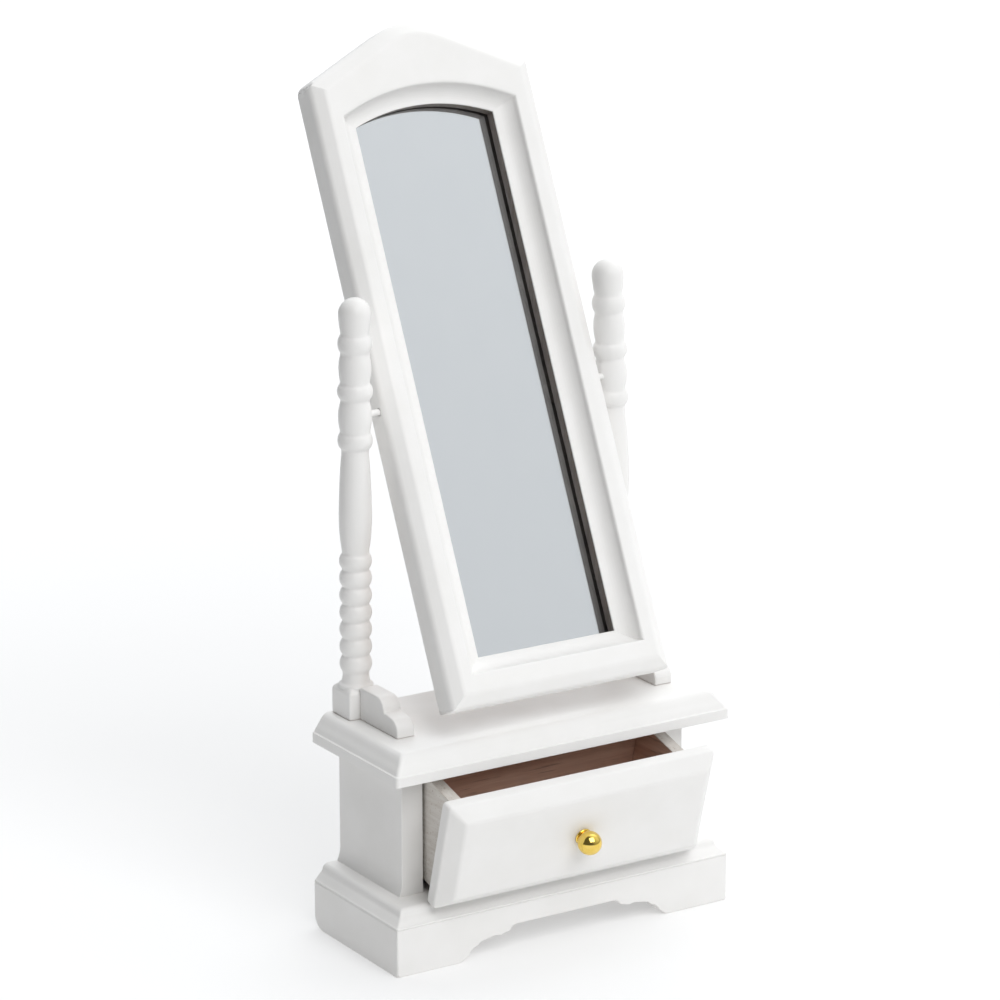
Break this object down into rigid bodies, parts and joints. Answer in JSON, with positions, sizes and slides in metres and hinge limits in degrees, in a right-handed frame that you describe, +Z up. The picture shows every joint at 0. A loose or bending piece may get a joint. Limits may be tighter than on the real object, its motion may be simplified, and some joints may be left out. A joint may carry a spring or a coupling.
{
  "type": "miniature dressing table",
  "caption": "Dolls' house cheval dressing mirror: a tilting framed mirror between turned posts on a small moulded base with a drawer.",
  "frame": {"origin": "bottom centre of the whole object's box as it stands at rest, with the mirror leaning back and the drawer open; the middle of the plinth's underside is 9.04 mm in front of it", "axes": "+Z up, the drawer and the mirror face -Y, +X is to the right of someone facing the mirror"},
  "size_m": [0.066, 0.0634, 0.1478],
  "materials": {
    "white_paint": "satin white paint on wood",
    "bare_wood": "unpainted reddish-brown wood",
    "backing_board": "thin unpainted board",
    "mirror_glass": "silvered glass",
    "brass": "polished",
    "painted_steel": "steel wire under the posts' white paint"
  },
  "bodies": {
    "stand": {"apron_front": "white_paint", "apron_left": "white_paint", "apron_right": "white_paint", "apron_back": "white_paint", "base_board": "white_paint", "case_side_left": "white_paint", "case_side_right": "white_paint", "case_back": "white_paint", "top_board": "white_paint", "post_left": "white_paint", "post_right": "white_paint", "post_dowel_left": "bare_wood", "post_dowel_right": "bare_wood", "bracket_left": "white_paint", "bracket_right": "white_paint", "pivot_pin_left": "painted_steel", "pivot_pin_right": "painted_steel"},
    "mirror": {"frame_stile_left": "white_paint", "frame_stile_right": "white_paint", "frame_bottom_rail": "white_paint", "frame_head": "white_paint", "mirror_glass": "mirror_glass", "backing_panel": "backing_board"},
    "drawer": {"drawer_front": "white_paint", "drawer_side_left": "bare_wood", "drawer_side_right": "bare_wood", "drawer_back": "bare_wood", "drawer_bottom": "bare_wood", "knob": "brass"}
  },
  "joints": [
    {"name": "mirror_tilt", "type": "hinge", "parent": "stand", "child": "mirror", "pos_m": [0, 0.00146, 0.089], "axis": [1, 0, 0], "range_deg": [-65, 115]},
    {"name": "drawer_slide_and_tip", "type": "hinge", "parent": "stand", "child": "drawer", "pos_m": [0, -0.01804, -0.0063], "axis": [1, 0, 0], "range_deg": [-15.2, 1]}
  ]
}
